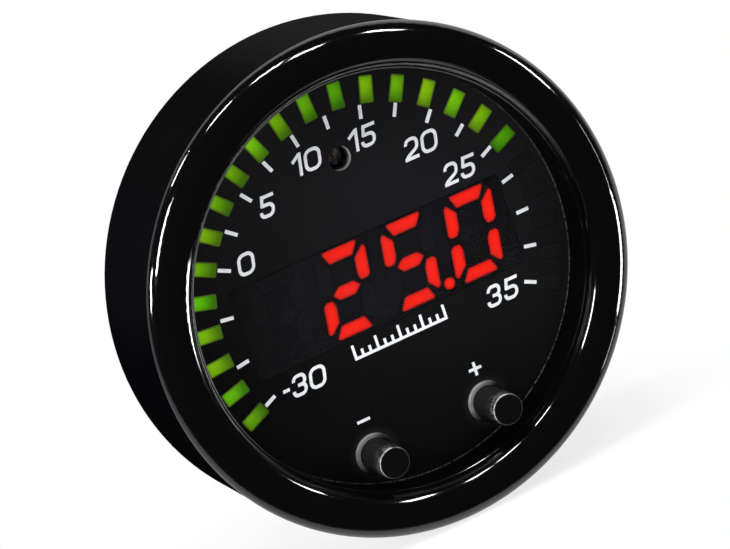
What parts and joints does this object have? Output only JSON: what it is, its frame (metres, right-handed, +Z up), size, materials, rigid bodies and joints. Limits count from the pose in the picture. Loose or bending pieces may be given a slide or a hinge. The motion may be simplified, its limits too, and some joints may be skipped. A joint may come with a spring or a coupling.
{
  "type": "boost gauge",
  "caption": "Slim round digital boost gauge with a bar of light windows, a seven-segment display, two push buttons and a cup for a panel hole.",
  "frame": {"origin": "centre of the seat plane, where the cup leaves the back of the body", "axes": "+Y along the cup axis, from the dial into the panel; the dial faces -Y; +Z up, +X to the right of someone who reads the dial"},
  "size_m": [0.0604, 0.0277, 0.0604],
  "materials": {
    "gloss_black": "polished",
    "matt_black": "fine matt",
    "face_black": "satin print",
    "smoked_pane": "smoked",
    "white_plastic": "matt",
    "green_light": "translucent",
    "grey_plastic": "satin",
    "button_black": "satin",
    "switch_black": "matt",
    "cream_plastic": "matt",
    "spring_steel": "bright",
    "red_segment": "translucent",
    "tinned": "tinned",
    "board_green": "solder mask",
    "chip_black": "matt",
    "can_silver": "satin",
    "gold_contact": "plated",
    "zinc_steel": "zinc plated",
    "brass": "turned"
  },
  "bodies": {
    "gauge": {"housing": "matt_black", "bezel_ring": "gloss_black", "face_plate": "face_black", "display_window": "smoked_pane", "light_baffle": "white_plastic", "light_guides": "green_light", "button_collars": "grey_plastic", "left_switch_body": "switch_black", "right_switch_body": "switch_black", "switch_domes": "spring_steel", "digit_display": "chip_black", "digit_segments": "red_segment", "display_pins": "tinned", "bar_lamps": "cream_plastic", "light_sensor": "chip_black", "front_board": "board_green", "driver_chips": "chip_black", "board_spacers": "zinc_steel", "header_socket": "chip_black", "header_pins": "gold_contact", "main_board": "board_green", "control_chip": "chip_black", "voltage_regulator": "chip_black", "filter_capacitors": "can_silver", "power_connector": "switch_black", "power_posts": "gold_contact", "sensor_connector": "switch_black", "sensor_posts": "gold_contact", "board_screws": "zinc_steel", "bracket_inserts": "brass"},
    "left_button": {"left_button_cap": "button_black", "left_switch_plunger": "cream_plastic"},
    "right_button": {"right_button_cap": "button_black", "right_switch_plunger": "cream_plastic"}
  },
  "joints": [
    {"name": "left_button_press", "type": "slide", "parent": "gauge", "child": "left_button", "axis": [0, 1, 0], "range_m": [0, 0.0005], "stiffness_N_per_m": 400},
    {"name": "right_button_press", "type": "slide", "parent": "gauge", "child": "right_button", "axis": [0, 1, 0], "range_m": [0, 0.0005], "stiffness_N_per_m": 400}
  ]
}
